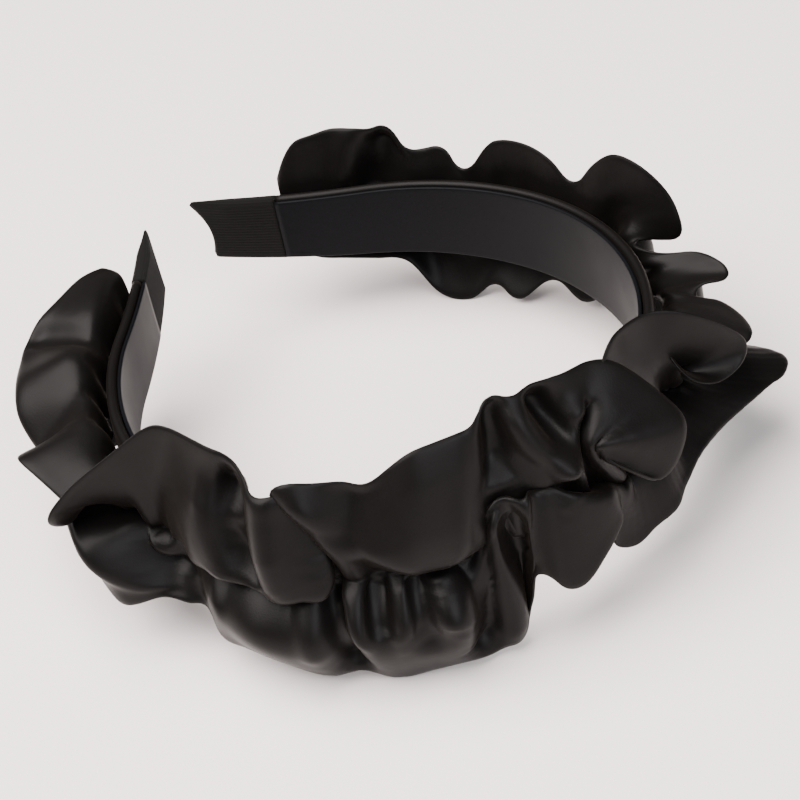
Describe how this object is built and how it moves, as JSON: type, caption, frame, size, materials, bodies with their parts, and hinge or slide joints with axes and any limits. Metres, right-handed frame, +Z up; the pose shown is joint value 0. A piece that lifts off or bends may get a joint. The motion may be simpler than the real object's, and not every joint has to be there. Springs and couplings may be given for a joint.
{
  "type": "pleated headband",
  "caption": "Springy open hoop worn over the head, lined with satin, with ribbed sleeves on its ends and a wide gathered satin ruffle along its outer face.",
  "frame": {"origin": "under the middle of the object's box, on the surface that the lowest hems rest on", "axes": "+Z up, square to the hoop's plane as it lies on its side; +Y from the crown towards the open end; +X towards the right arm"},
  "size_m": [0.1786, 0.1726, 0.0664],
  "materials": {
    "satin": "black satin with a warm tone and soft broad highlights",
    "lining_satin": "cool black satin, smooth, with a soft sheen",
    "ribbed_ribbon": "matte black ribbed ribbon"
  },
  "bodies": {
    "root": {"band": "satin", "lining": "lining_satin", "tip_wrap_left": "ribbed_ribbon", "tip_wrap_right": "ribbed_ribbon", "ruffle": "satin"}
  },
  "joints": []
}
